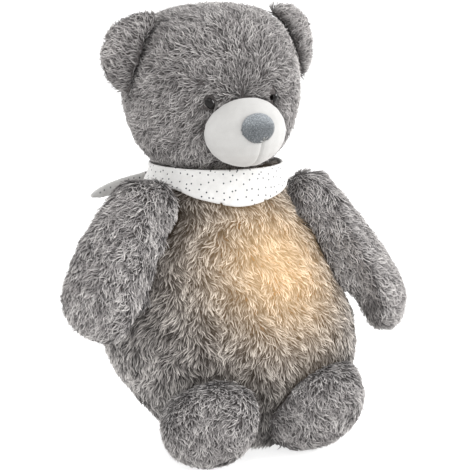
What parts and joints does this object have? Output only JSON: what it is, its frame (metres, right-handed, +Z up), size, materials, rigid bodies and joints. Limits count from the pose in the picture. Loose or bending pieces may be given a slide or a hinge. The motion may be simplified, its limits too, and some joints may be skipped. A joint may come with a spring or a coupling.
{
  "type": "plush night light",
  "caption": "Sitting plush teddy bear with a neckerchief and a removable battery light module in its belly.",
  "frame": {"origin": "on the flat seat face, straight below the middle of the head", "axes": "+Z up from the seat to the crown; -Y the way the bear faces; +X to the bear's left"},
  "size_m": [0.2581, 0.1643, 0.2915],
  "materials": {
    "plush": "curly long pile",
    "velour": "short pile",
    "nose_cloth": "short pile, padded",
    "eye_plastic": "polished",
    "muslin": "crinkled cotton with pin dots",
    "lining": "plain weave",
    "hook_tape": "hook and loop tape",
    "diffuser": "frosted, lit amber",
    "white_plastic": "fine moulded grain",
    "black_plastic": "moulded",
    "amber_button": "satin",
    "board": "solder mask",
    "led": "clear, lit",
    "cell": "plain wrapped",
    "steel": "plated"
  },
  "bodies": {
    "body": {"torso": "plush", "pocket_loop_strip": "hook_tape", "pocket_lining": "lining", "neckerchief": "muslin", "neckerchief_knot": "muslin", "right_tail": "muslin", "left_tail": "muslin", "diffuser_dome": "diffuser", "led_board": "board", "led_1": "led", "led_2": "led", "led_3": "led", "module_case": "white_plastic", "cell_carrier": "black_plastic", "switch_board": "board", "tact_switch": "black_plastic", "tail_cap": "white_plastic", "cap_screw_right": "steel", "cap_screw_left": "steel", "cell_1": "cell", "cell_2": "cell", "cell_3": "cell", "cell_spring_1": "steel", "cell_spring_2": "steel", "cell_spring_3": "steel", "cell_contact_1": "steel", "cell_contact_2": "steel", "cell_contact_3": "steel"},
    "head_body": {"head": "plush", "muzzle": "velour", "nose": "nose_cloth", "right_ear": "plush", "left_ear": "plush", "right_eye": "eye_plastic", "left_eye": "eye_plastic", "right_eye_washer": "white_plastic", "left_eye_washer": "white_plastic"},
    "right_arm_body": {"right_arm": "plush"},
    "left_arm_body": {"left_arm": "plush"},
    "right_leg_body": {"right_leg": "plush"},
    "left_leg_body": {"left_leg": "plush"},
    "flap_body": {"back_flap": "plush", "flap_hook_strip": "hook_tape"},
    "button_body": {"push_button": "amber_button"}
  },
  "joints": [
    {"name": "head_turn", "type": "hinge", "parent": "body", "child": "head_body", "pos_m": [0.003, 0.0095, 0.1823], "axis": [0, 0, 1], "range_deg": [-20, 20], "stiffness_Nm_per_rad": 0.8},
    {"name": "right_arm_swing", "type": "hinge", "parent": "body", "child": "right_arm_body", "pos_m": [-0.0537, -0.015, 0.157], "axis": [-1, 0, 0], "range_deg": [-20, 60], "stiffness_Nm_per_rad": 0.3},
    {"name": "left_arm_swing", "type": "hinge", "parent": "body", "child": "left_arm_body", "pos_m": [0.0603, -0.015, 0.157], "axis": [-1, 0, 0], "range_deg": [-20, 60], "stiffness_Nm_per_rad": 0.3},
    {"name": "right_leg_splay", "type": "hinge", "parent": "body", "child": "right_leg_body", "pos_m": [-0.0298, -0.041, 0.038], "axis": [0, 0, -1], "range_deg": [0, 15], "stiffness_Nm_per_rad": 0.5},
    {"name": "left_leg_splay", "type": "hinge", "parent": "body", "child": "left_leg_body", "pos_m": [0.0512, -0.041, 0.038], "axis": [0, 0, 1], "range_deg": [0, 15], "stiffness_Nm_per_rad": 0.5},
    {"name": "flap_lift", "type": "hinge", "parent": "body", "child": "flap_body", "pos_m": [0, 0.0545, 0.152], "axis": [1, 0, 0], "range_deg": [0, 110]},
    {"name": "button_press", "type": "slide", "parent": "body", "child": "button_body", "axis": [0, -1, 0], "range_m": [0, 0.0015], "stiffness_N_per_m": 400}
  ]
}
